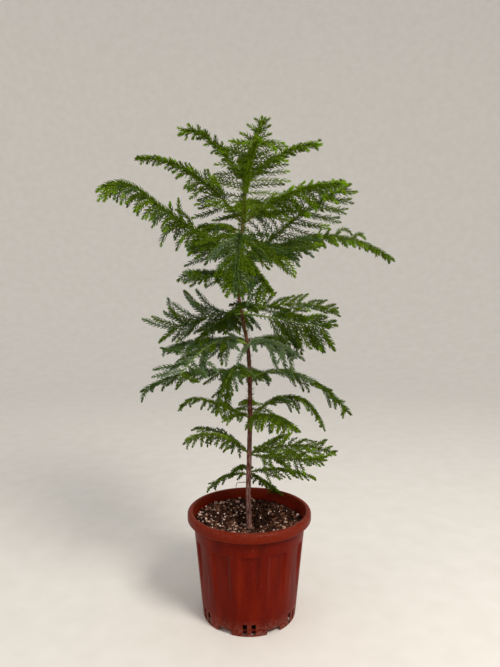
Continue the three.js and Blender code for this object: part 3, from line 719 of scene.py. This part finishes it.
zones = ("low",) * 3 + ("middle",) * 3 + ("top",) * 4  # by tier, the leader last
greens = dict(
    deepGreen=("#394b04", "#4f660f"), mossGreen=("#495f05", "#5f7b0e"), freshGreen=("#637f06", "#7c9c16"),
    blueGreen=("#3f5828", "#58743c"), paleBlueGreen=("#637a54", "#819670"), tipGreen=("#668c08", "#7ea416"),
)
deep, moss, fresh, tip = (list(greens).index(tone + "Green") for tone in ("deep", "moss", "fresh", "tip"))
seedStep = 10  # between the seeds of one tier and the next
grown = []  # ribs and shoots, whose needles come later


# A frond's settings, with those of its tier and of all fronds
def settingsOf(tier, size):
    return settings({**shoots, **tier, **size})


# The line of a frond's rib by share of its reach, and the direction that it points to
def lineOf(own):
    side = math.radians(own.side)
    out = np.array([math.cos(side), math.sin(side), 0])
    foot = stemAt(np.array(float(own.height + own.above)))
    slope = math.tan(math.radians(own.rise))

    def at(share):
        share = np.asarray(share, float)
        past = np.maximum(0, (share - own.nodStart) / (1 - own.nodStart))
        arch = share * (1 - share) * own.reach * slope
        lift = arch + share**2 * (own.lift + own.nod) - past**2 * own.nod
        return foot + share[..., None] * own.reach * out + lift[..., None] * up
    return at, out


# A side shoot from root: it sets off at one direction and bends to another on the way
def shootPath(root, start, end, length):
    shares = np.linspace(0, 1, shoots.steps)
    headings = unit(blend(start, end, shares[:, None]))
    steps = (headings[1:] + headings[:-1]) / 2 * length / (shoots.steps - 1)
    return root + np.vstack([np.zeros(3), np.cumsum(steps, axis=0)])


def addShoot(kind, tier, path, radii, flat, tone, tipTone, needle=1.0, bareTo=0.0, density=1.0):
    grown.append(settings(kind=kind, tier=tier, path=path, radii=radii, flat=flat, tone=tone,
                          tipTone=tipTone, needle=needle, bareTo=bareTo, density=density))


# Tone of a rib's or shoot's needles, and that of its last ones
def dealTones(own):
    tone = int(draw.choice(len(own.tones), p=np.array(own.tones) / sum(own.tones)))
    return tone, tip if draw.random() < own.tips else tone


def sprout(number, own, root, begin, end, length, flat):
    tone, tipTone = dealTones(own)
    path = shootPath(root, begin, end, length)
    radii = np.linspace(own.radius, own.tipRadius, own.steps)
    addShoot("twig", number, path, radii, flat, tone, tipTone, own.needle, density=own.density)


def growFrond(number, own):
    line, out = lineOf(own)
    across = np.array([-out[1], out[0], 0])
    roll = math.radians(own.roll)
    start = own.boughShare if own.boughs else 0.0
    shares = np.linspace(start, 1, own.ribSteps)
    radii = blend(own.ribRadius, own.ribTipRadius, shares ** own.ribThinning)
    tone, tipTone = dealTones(own)
    bareTo = own.boughBare if own.boughs else own.ribBare
    addShoot("rib", number, line(shares), radii, across, tone, tipTone, own.needle, bareTo, own.ribDensity)
    if own.boughs:  # needles on the bough
        addShoot("bough", number, line(np.linspace(own.boughFrom, start, own.steps)),
                 np.full(own.steps, own.boughRadius), across, tone, tone, own.boughNeedle)
    fine = np.linspace(own.first, own.last, own.samples)
    along = lengthAlong(line(fine))
    count = max(own.fewest, round(along[-1] / own.spacing))
    for i in range(2 * count):
        hand = 1 if i % 2 else -1
        place = along[-1] * (i + 0.5 + spread(own.shift)) / (2 * count)
        share = float(np.interp(place, along, fine))
        ahead = heading(line, share)
        sideways = across * math.cos(roll) + np.cross(ahead, across) * math.sin(roll)
        longer = own.width * own.reach * (1 - share) ** own.taper * (1 + spread(own.uneven))
        length = (own.least + longer) * (own.left if hand > 0 else 1)
        turn, dip = spread(own.jitter), spread(own.dip)
        forwards = own.rootAngle, own.tipAngle + (own.curl if hand > 0 else 0)
        headings = []
        for forward, sag in zip(forwards, own.sags):
            angle = math.radians(forward + turn)
            flat = ahead * math.cos(angle) + hand * sideways * math.sin(angle)
            headings.append(unit(flat - (own.hang * sag + dip) * up))
        end = unit(headings[1] + spread(own.wander, 3))
        sprout(number, own, line(share), headings[0], end, length, ahead)
    for share, length in own.hangers:
        ahead = heading(line, share)
        begin = unit(ahead + spread(hanger.aside) * across - hanger.drop * up)
        end = unit(hanger.ahead * ahead + spread(hanger.tipAside) * across - up)
        sprout(number, own, line(share), begin, end, length, across)
    brush = settings({**own, "needle": own.needle * upright.needle, "density": upright.density})
    for share, length, bend in own.uprights:
        ahead = heading(line, share)
        begin = unit(up + upright.ahead * ahead)
        end = unit(up * (1 - bend) + ahead * min(bend, 1) + upright.out * out)
        sprout(number, brush, line(share), begin, end, length, across)


for number, tier in enumerate(tiers):
    for place, size in enumerate(tier.fronds):
        draw = np.random.default_rng(seedStep * number + place)  # each frond has its own run of chance
        growFrond(number, settingsOf(tier, size))

# The leader: whorls of short shoots, steeper and shorter towards the tip
leader = settings(
    whorls=5, each=4, foot=905, tall=85, first=0.06, last=0.8, lowLength=48, highLength=16,
    lowSlope=22, highSlope=44, steeper=0.15, flatter=0.25,  # the last two at root and tip, in radians
    radii=(0.8, 0.5), ribRadii=(2.0, 0.8), ribFrom=-0.05, freshTips=0.35,
)
top = len(tiers)
leaderShares = np.linspace(leader.ribFrom, 1, shoots.ribSteps)
leaderPath = stemAt(blend(stem.tip, stem.leaderTip, leaderShares))
addShoot("rib", top, leaderPath, np.linspace(*leader.ribRadii, shoots.ribSteps), back, moss, moss)
for i in range(leader.each * leader.whorls):
    share = (i // leader.each) / (leader.whorls - 1)
    side = math.radians(360 / leader.each * i + spread(shoots.jitter))
    slope = math.radians(blend(leader.lowSlope, leader.highSlope, share))
    height = leader.foot + leader.tall * blend(leader.first, leader.last, share)
    outward = np.array([math.cos(side), math.sin(side), 0])
    begin = unit(outward + math.tan(slope + leader.steeper) * up)
    end = unit(outward + math.tan(slope - leader.flatter) * up)
    length = blend(leader.lowLength, leader.highLength, share)
    addShoot("twig", top, shootPath(stemAt(np.array(height)), begin, end, length),
             np.linspace(*leader.radii, shoots.steps), np.cross(outward, up), moss if i % 2 else deep,
             fresh if draw.random() < leader.freshTips else moss)
print("grown:", len(grown), "ribs and shoots")


# Round tubes along paths that all have the same number of steps
def tubeArrays(paths, radii, flats, sides):
    count, steps = paths.shape[:2]
    ahead = unit(np.gradient(paths, axis=1))
    across = unit(np.cross(ahead, np.broadcast_to(flats[:, None], paths.shape)))
    top = np.cross(ahead, across)
    turns = 2 * math.pi * np.arange(sides) / sides
    ring = turned(across[:, :, None], top[:, :, None], turns[:, None])
    points = (paths[:, :, None] + radii[:, :, None, None] * ring).reshape(count, steps * sides, 3)
    points = np.concatenate([points, paths[:, :1], paths[:, -1:]], axis=1)
    first, last = steps * sides, steps * sides + 1
    faces = []
    for j in range(sides):
        k = (j + 1) % sides
        faces.append((first, k, j))
        faces.append((last, (steps - 1) * sides + j, (steps - 1) * sides + k))
        for i in range(steps - 1):
            a, b, c, d = i * sides + j, i * sides + k, (i + 1) * sides + k, (i + 1) * sides + j
            faces += [(a, b, c), (a, c, d)]
    return points.reshape(-1, 3), repeated(np.array(faces), steps * sides + 2, count)


def addTubes(name, limbs, sides, material, slot):
    paths, radii, flats = (np.array([limb[key] for limb in limbs]) for key in ("path", "radii", "flat"))
    return addArrays(name, *tubeArrays(paths, radii, flats, sides), material, slot)


# Needles: three-sided awls that lean out of the twig and curve in towards its tip
needles = settings(
    perMm=0.84, fewest=4, start=2.0, length=10.5, least=0.88, lengthSpread=0.24, width=2.1, slimmest=0.6,
    leanAtRoot=54, leanAtTip=30, leanSpread=8, turn=137.5, turnSpread=0.5, firstTurn=0.7, sunk=0.5,
    end=12, endLean=34, endShrink=0.36, endNeedles=4, endSpacing=0.4,
    tipShare=0.5, tipLength=9, tipSpread=7,  # the part of a shoot that has the tip's tone
    footHalf=0.4, middleHalf=0.46, keel=1.1, flank=0.5,  # shares of the width
)
needleFaces = np.array([(0, 2, 1), (0, 1, 4), (0, 4, 3), (1, 2, 5), (1, 5, 4), (2, 0, 3), (2, 3, 5),
                        (3, 4, 6), (4, 5, 6), (5, 3, 6)])


def needleArrays(base, ahead, outward, length, width, lean, tipLean):
    across = np.cross(ahead, outward)
    middle = base + length / 2 * turned(ahead, outward, lean)
    point = middle + length / 2 * turned(ahead, outward, tipLean)
    keel = turned(outward, -ahead, lean)
    corners = []
    for place, half in ((base, width * needles.footHalf), (middle, width * needles.middleHalf)):
        flank = keel * half * needles.flank
        corners += [place + keel * half * needles.keel, place + across * half - flank,
                    place - across * half - flank]
    corners.append(point)
    return np.stack(corners, axis=1).reshape(-1, 3), repeated(needleFaces, len(corners), len(base))


# Needle places along one rib or shoot, turning by the golden angle from each to the next
def needlesOn(shoot, startTurn):
    path = shoot.path
    along = lengthAlong(path)
    total = along[-1]
    begin = max(needles.start, shoot.bareTo * total)
    body = max(needles.fewest, int((total - begin) * (needles.perMm * shoot.density)))
    places = begin + (total - begin) * (np.arange(body) + 0.5) / body
    ends = total - needles.endSpacing * np.arange(needles.endNeedles)[::-1]
    places = np.concatenate([places, ends])
    count = len(places)
    base = np.stack([np.interp(places, along, path[:, k]) for k in range(3)], -1)
    tangents = unit(np.gradient(path, axis=0))
    ahead = unit(np.stack([np.interp(places, along, tangents[:, k]) for k in range(3)], -1))
    across = unit(np.cross(ahead, shoot.flat))
    top = np.cross(ahead, across)
    turns = startTurn + np.radians(needles.turn) * np.arange(count)
    turns = turns + spread(needles.turnSpread, count)
    outward = turned(across, top, turns[:, None])
    radius = np.interp(places, along, shoot.radii)
    atEnd = np.clip(1 - (total - places) / needles.end, 0, 1)
    scale = shoot.needle * (1 - needles.endShrink * atEnd)
    scale = scale * (needles.least + needles.lengthSpread * draw.random(count))
    lean = needles.leanAtRoot + spread(needles.leanSpread, count)
    lean = np.radians(lean - needles.endLean * atEnd)
    tipFrom = total - needles.tipLength - needles.tipSpread * draw.random()
    tones = np.where(places > max(total * needles.tipShare, tipFrom), shoot.tipTone, shoot.tone)
    return base + outward * (radius * needles.sunk)[:, None], ahead, outward, scale, lean, tones


greenSkins = {name: waxySkin(name, *tones) for name, tones in greens.items()}
twigSkin = waxySkin("twigGreen", "#5d7426", "#7d9136", 0.55)
ribSkins = dict(
    low=waxySkin("ribMoss", "#56642a", "#74803a"), middle=waxySkin("ribPale", "#6d8a35", "#8ea84c", 0.55),
    top=waxySkin("ribOlive", "#4c5c1e", "#66742c", 0.55),
)

# Ribs, one piece for each tier, which stands for that tier's fronds
for number, zone in enumerate(zones):
    ribs = [g for g in grown if g.kind == "rib" and g.tier == number]
    name, nodes = "leaderRib", ["leader_tuft"]
    if number < len(tiers):
        name = f"tier{number + 1}Ribs"
        nodes = [f"tier_{number + 1}_frond_{i + 1}" for i in range(len(ribs))]
    piece = addTubes(name, ribs, shoots.ribSides, ribSkins[zone], zone + "_needles")
    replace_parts(piece, *nodes)

# Side shoots' twigs by zone
for zone in ("low", "middle", "top"):
    twigs = [g for g in grown if g.kind == "twig" and zones[g.tier] == zone]
    addTubes(zone + "Twigs", twigs, shoots.sides, twigSkin, zone + "_needles")

# Needles by zone and green
harvest = {}
for i, shoot in enumerate(grown):
    *columns, tones = needlesOn(shoot, i * needles.firstTurn)
    for tone in np.unique(tones):
        kept = [column[tones == tone] for column in columns]
        harvest.setdefault((zones[shoot.tier], int(tone)), []).append(kept)
needleCount = 0
for (zone, tone), parts in sorted(harvest.items(), key=lambda item: item[0]):
    base, ahead, outward, scale, lean = (np.concatenate(column) for column in zip(*parts))
    scale, lean = scale[:, None], lean[:, None]
    widths = needles.width * blend(needles.slimmest, 1, scale)
    tipLean = lean * needles.leanAtTip / needles.leanAtRoot
    points, faces = needleArrays(base, ahead, outward, needles.length * scale, widths, lean, tipLean)
    green = list(greens)[tone]
    name = zone + "Needles" + green[0].upper() + green[1:]
    addArrays(name, points, faces, greenSkins[green], zone + "_needles")
    needleCount += len(base)
    print(name, len(faces), "triangles")
print("needles:", needleCount)


# Boughs: the bare bases of the longest fronds
boughs = settings(radius=1.6, thinning=0.2, past=0.01, sides=10, rings=30, relief=0.22, reliefSize=2.2)


def boughRelief(point, share):
    return boughs.relief * noise.noise(Vector(point) / boughs.reliefSize)


boughBark = waxySkin("boughBark", "#4c4a1e", "#6c6a2e", 0.65)
boughEnd = shoots.boughShare + boughs.past  # share of the reach
for number in (6, 7):  # the two tiers with boughs
    bm = bmesh.new()
    for size in tiers[number].fronds:
        line = lineOf(settingsOf(tiers[number], size))[0]
        barkLimb(bm, lambda s: line(np.array(s * boughEnd)),
                 lambda s: boughs.radius - boughs.thinning * s, boughs.sides, boughs.rings, boughRelief)
    name = f"tier{number + 1}Boughs"
    piece = addPiece(name, meshOf(name, bm), boughBark)
    if number == 6:
        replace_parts(piece, *[f"tier_7_bough_{i + 1}" for i in range(len(tiers[6].fronds))])
print("boughs made")


# Needles on the stem: green ones above, dry ones left on the bare middle, and one dead twig low down
stemNeedle = settings(least=0.7, lengthSpread=0.5, width=1.0, lean=55, leanSpread=30, tipLean=50, sunk=0.8)
dry = waxySkin("dryNeedle", "#5a3d22", "#7a5a35", 0.8)
for name, skin, slot, low, high, count, length in (
    ("stemTopNeedles", greenSkins["mossGreen"], "top_needles", 700, 905, 750, 10),
    ("stemMiddleNeedles", greenSkins["deepGreen"], "middle_needles", 560, 690, 170, 8.5),
    ("dryStemNeedles", dry, "stem_bark", 425, 560, 110, 8),
    ("oldNeedleStubs", dry, "stem_bark", 215, 425, 60, 3),
):
    heights = blend(low, high, draw.random(count))
    ahead = unit(stemAt(heights + 1) - stemAt(heights - 1))
    turns = 2 * math.pi * draw.random(count)
    across = unit(np.cross(ahead, back))
    outward = turned(across, np.cross(ahead, across), turns[:, None])
    base = stemAt(heights) + outward * (stemRadius(heights) * stemNeedle.sunk)[:, None]
    sizes = length * (stemNeedle.least + stemNeedle.lengthSpread * draw.random(count))
    lean = np.radians(stemNeedle.lean + stemNeedle.leanSpread * draw.random(count))[:, None]
    tipLean = np.radians(stemNeedle.tipLean)
    arrays = needleArrays(base, ahead, outward, sizes[:, None], stemNeedle.width, lean, tipLean)
    addArrays(name, *arrays, skin, slot)

deadTwig = settings(
    path=((-3, -1, 268), (-9, -2, 269), (-16, -3, 269), (-23, -3, 268.5), (-26, -3, 266), (-27, -3, 261),
          (-26.5, -3, 257)),
    radii=np.linspace(0.9, 0.5, 7), flat=back, sides=7,
)
deadBark = waxySkin("deadTwigBark", "#6d4640", "#91665c", 0.8)
addTubes("deadTwig", [deadTwig], deadTwig.sides, deadBark, "stem_bark")
print("stem needles made")


# Studio: a pale floor that sweeps up into a backdrop, a soft light from the right, a weak one from the left

studio = settings(
    camera=(1.4, -1107, 661), pitch=-4.67, focalPixels=560, imageHeight=667, filmHeight=36,
    flat=1200, sweepFrom=2600, sweepRadius=2400, sweepSteps=16, wallTop=4200, floorSides=96,
    air="#f1efec", airStrength=0.6, aim=(0, 0, 0.5),
)
curve = studio.sweepRadius
sweep = arc(studio.sweepFrom, curve, curve, -curve, (0, math.pi / 2), studio.sweepSteps)
wall = [(studio.sweepFrom + curve, studio.wallTop)]
bm = bmesh.new()
spun(bm, [(0, 0), (studio.flat, 0)] + sweep + wall, studio.floorSides)
floor = addObject("floor", meshOf("floor", bm))
floor.data.flip_normals()  # seen from inside
floor.data.materials.append(studioPaint())
floor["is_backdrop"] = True

world = bpy.data.worlds.new("studioAir")
world.use_nodes = True
setInputs(world.node_tree.nodes["Background"],
          {"Color": hexColour(studio.air), "Strength": studio.airStrength})
scene.world = world


def addLight(name, place, size, watts, colour):
    data = bpy.data.lights.new(name, "AREA")
    data.shape = "DISK"
    data.size = size
    data.energy = watts
    data.color = hexColour(colour)[:3]
    light = addObject(name, data)
    light.location = place
    light.rotation_euler = (Vector(studio.aim) - Vector(place)).to_track_quat("-Z", "Y").to_euler()


addLight("keyLight", place=(1.2, -1.45, 2.2), size=0.9, watts=52, colour="#fff6ea")
addLight("fillLight", place=(-1.8, -1.2, 1.2), size=1.4, watts=4, colour="#fff8f0")

lens = bpy.data.cameras.new("camera")
lens.sensor_fit = "VERTICAL"
lens.sensor_width = lens.sensor_height = studio.filmHeight
lens.lens = studio.filmHeight * studio.focalPixels / studio.imageHeight
camera = addObject("camera", lens)
camera.location = [c * mm for c in studio.camera]
camera.rotation_euler = (math.radians(90 + studio.pitch), 0, 0)
scene.camera = camera
scene.view_settings.view_transform = "Standard"
print("studio made")

sizes = dict(cad=[list(corner) for corner in cadBox], visual=[list(corner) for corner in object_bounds()])
